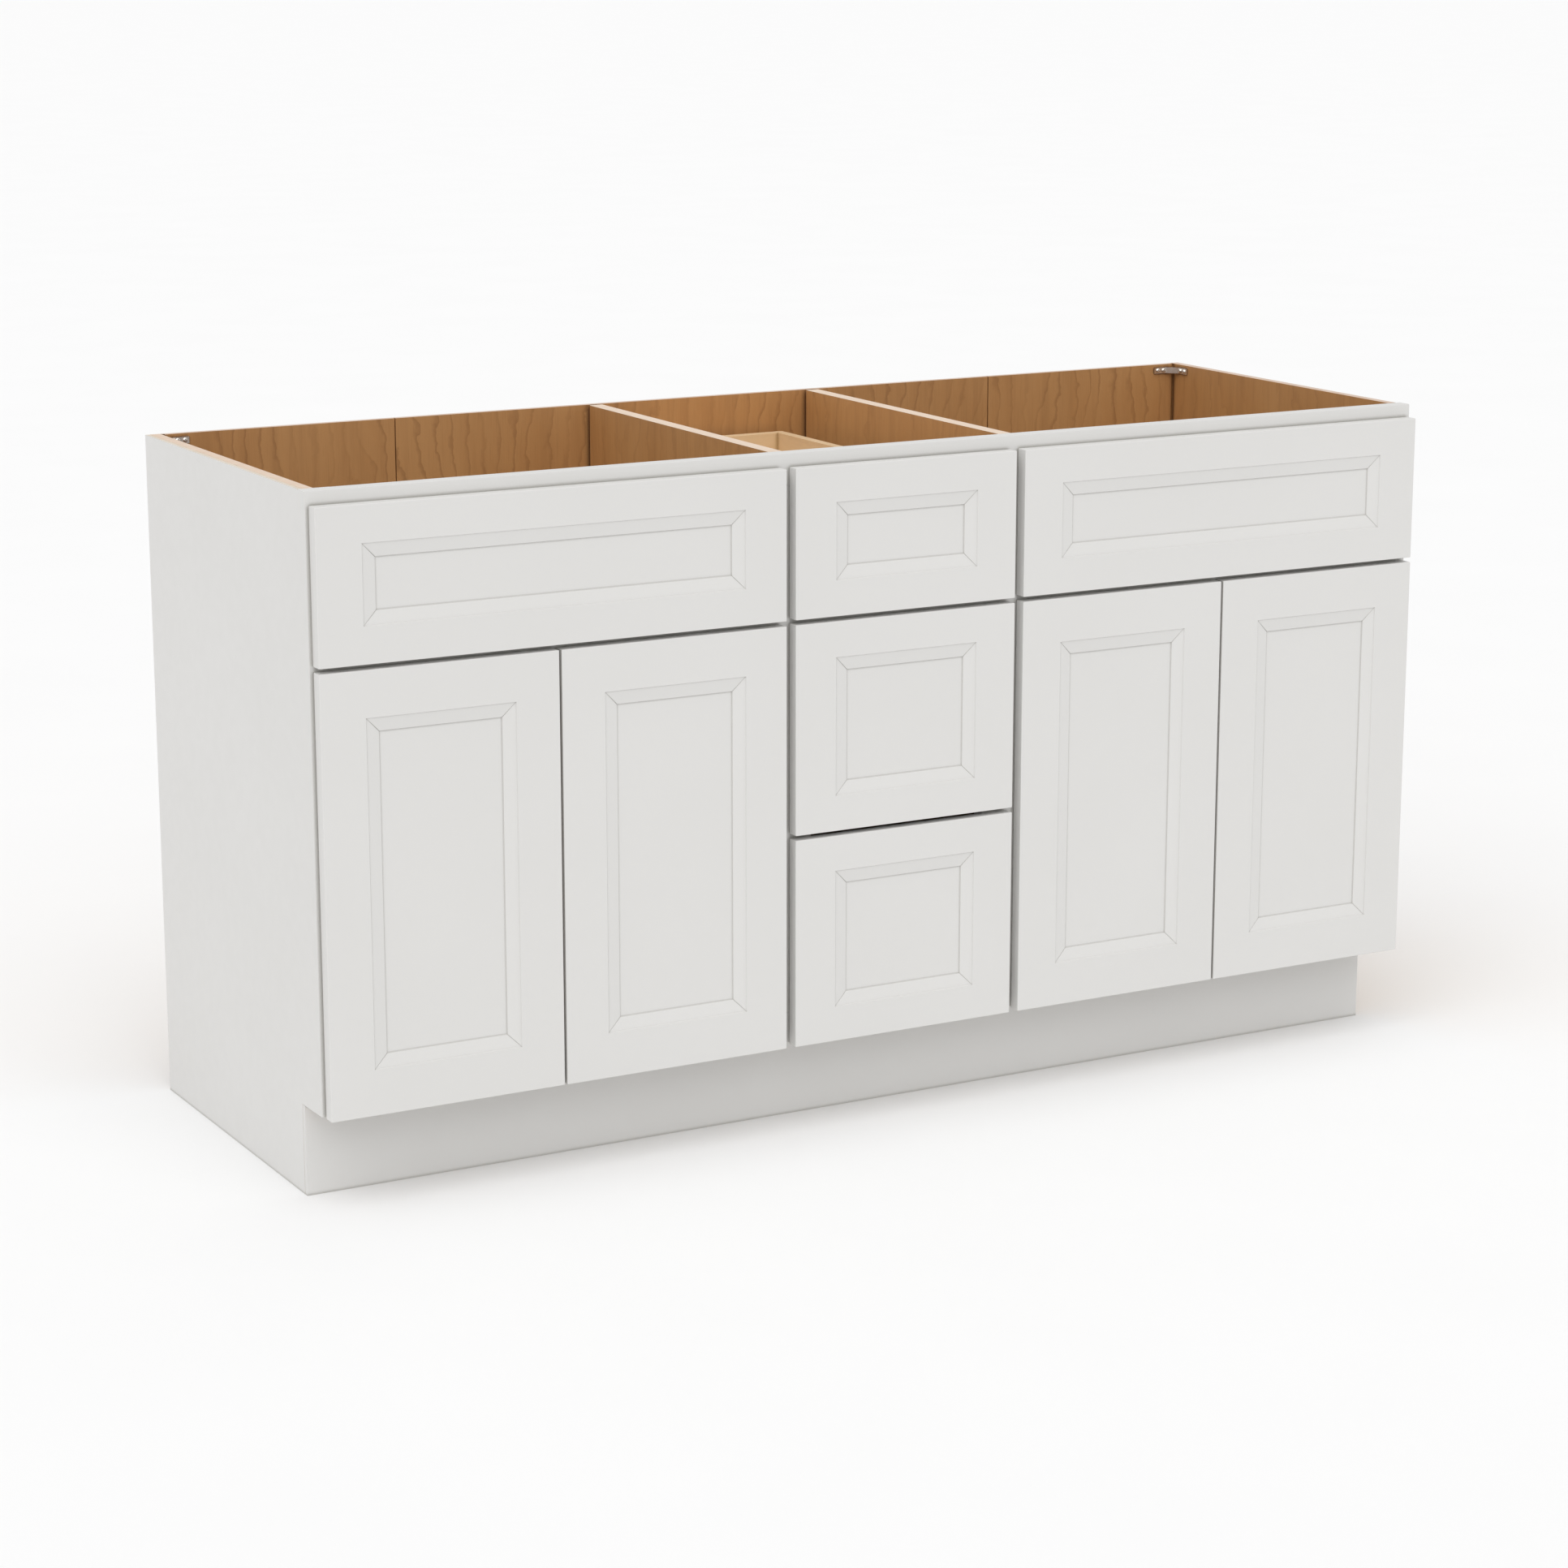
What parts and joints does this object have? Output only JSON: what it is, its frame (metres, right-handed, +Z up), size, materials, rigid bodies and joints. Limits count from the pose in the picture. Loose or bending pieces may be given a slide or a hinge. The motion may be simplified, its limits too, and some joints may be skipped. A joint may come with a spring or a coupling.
{
  "type": "bathroom vanity cabinet",
  "caption": "Freestanding bathroom vanity cabinet with an open top, hinged recessed-panel doors either side of a stack of drawers, false fronts and a recessed toe kick.",
  "frame": {"origin": "middle of the footprint's bounding box, on the floor", "axes": "+Z up, the doors face -Y, +X to the right when facing the doors"},
  "size_m": [1.524, 0.533, 0.833],
  "materials": {
    "white_paint": "satin painted",
    "case_plywood": "stained maple veneer plywood",
    "drawer_maple": "clear lacquered maple",
    "zinc_steel": "zinc plated",
    "nickel_steel": "nickel plated"
  },
  "bodies": {
    "cabinet": {"toe_kick_board": "white_paint", "frame_left_stile": "white_paint", "frame_right_stile": "white_paint", "frame_left_mullion": "white_paint", "frame_right_mullion": "white_paint", "frame_top_rail": "white_paint", "frame_bottom_rail": "white_paint", "frame_left_mid_rail": "white_paint", "frame_center_mid_rail": "white_paint", "frame_right_mid_rail": "white_paint", "left_false_front": "white_paint", "right_false_front": "white_paint", "left_side_panel": "case_plywood", "right_side_panel": "case_plywood", "left_partition": "case_plywood", "right_partition": "case_plywood", "bottom_panel": "case_plywood", "back_panel_left": "case_plywood", "back_panel_center": "case_plywood", "back_panel_right": "case_plywood", "corner_bracket_left": "zinc_steel", "corner_bracket_right": "zinc_steel", "top_slide_left": "zinc_steel", "top_slide_right": "zinc_steel", "middle_slide_left": "zinc_steel", "middle_slide_right": "zinc_steel", "bottom_slide_left": "zinc_steel", "bottom_slide_right": "zinc_steel", "left_outer_door_hinge_plate_lower": "nickel_steel", "left_outer_door_hinge_plate_upper": "nickel_steel", "left_inner_door_hinge_plate_lower": "nickel_steel", "left_inner_door_hinge_plate_upper": "nickel_steel", "right_inner_door_hinge_plate_lower": "nickel_steel", "right_inner_door_hinge_plate_upper": "nickel_steel", "right_outer_door_hinge_plate_lower": "nickel_steel", "right_outer_door_hinge_plate_upper": "nickel_steel"},
    "left_outer_door": {"left_outer_door": "white_paint", "left_outer_door_hinge_cup_lower": "nickel_steel", "left_outer_door_hinge_cup_upper": "nickel_steel"},
    "left_inner_door": {"left_inner_door": "white_paint", "left_inner_door_hinge_cup_lower": "nickel_steel", "left_inner_door_hinge_cup_upper": "nickel_steel"},
    "right_inner_door": {"right_inner_door": "white_paint", "right_inner_door_hinge_cup_lower": "nickel_steel", "right_inner_door_hinge_cup_upper": "nickel_steel"},
    "right_outer_door": {"right_outer_door": "white_paint", "right_outer_door_hinge_cup_lower": "nickel_steel", "right_outer_door_hinge_cup_upper": "nickel_steel"},
    "top_drawer": {"top_drawer_front": "white_paint", "top_drawer_box": "drawer_maple", "top_runner_left": "zinc_steel", "top_runner_right": "zinc_steel"},
    "middle_drawer": {"middle_drawer_front": "white_paint", "middle_drawer_box": "drawer_maple", "middle_runner_left": "zinc_steel", "middle_runner_right": "zinc_steel"},
    "bottom_drawer": {"bottom_drawer_front": "white_paint", "bottom_drawer_box": "drawer_maple", "bottom_runner_left": "zinc_steel", "bottom_runner_right": "zinc_steel"}
  },
  "joints": [
    {"name": "left_outer_door_hinge", "type": "hinge", "parent": "cabinet", "child": "left_outer_door", "pos_m": [-0.758, -0.2665, 0.3695], "axis": [0, 0, -1], "range_deg": [0, 105]},
    {"name": "left_inner_door_hinge", "type": "hinge", "parent": "cabinet", "child": "left_inner_door", "pos_m": [-0.1653, -0.2665, 0.3695], "axis": [0, 0, 1], "range_deg": [0, 90]},
    {"name": "right_inner_door_hinge", "type": "hinge", "parent": "cabinet", "child": "right_inner_door", "pos_m": [0.1653, -0.2665, 0.3695], "axis": [0, 0, -1], "range_deg": [0, 90]},
    {"name": "right_outer_door_hinge", "type": "hinge", "parent": "cabinet", "child": "right_outer_door", "pos_m": [0.758, -0.2665, 0.3695], "axis": [0, 0, 1], "range_deg": [0, 105]},
    {"name": "top_drawer_slide", "type": "slide", "parent": "cabinet", "child": "top_drawer", "axis": [0, -1, 0], "range_m": [0, 0.36]},
    {"name": "middle_drawer_slide", "type": "slide", "parent": "cabinet", "child": "middle_drawer", "axis": [0, -1, 0], "range_m": [0, 0.36]},
    {"name": "bottom_drawer_slide", "type": "slide", "parent": "cabinet", "child": "bottom_drawer", "axis": [0, -1, 0], "range_m": [0, 0.36]}
  ]
}
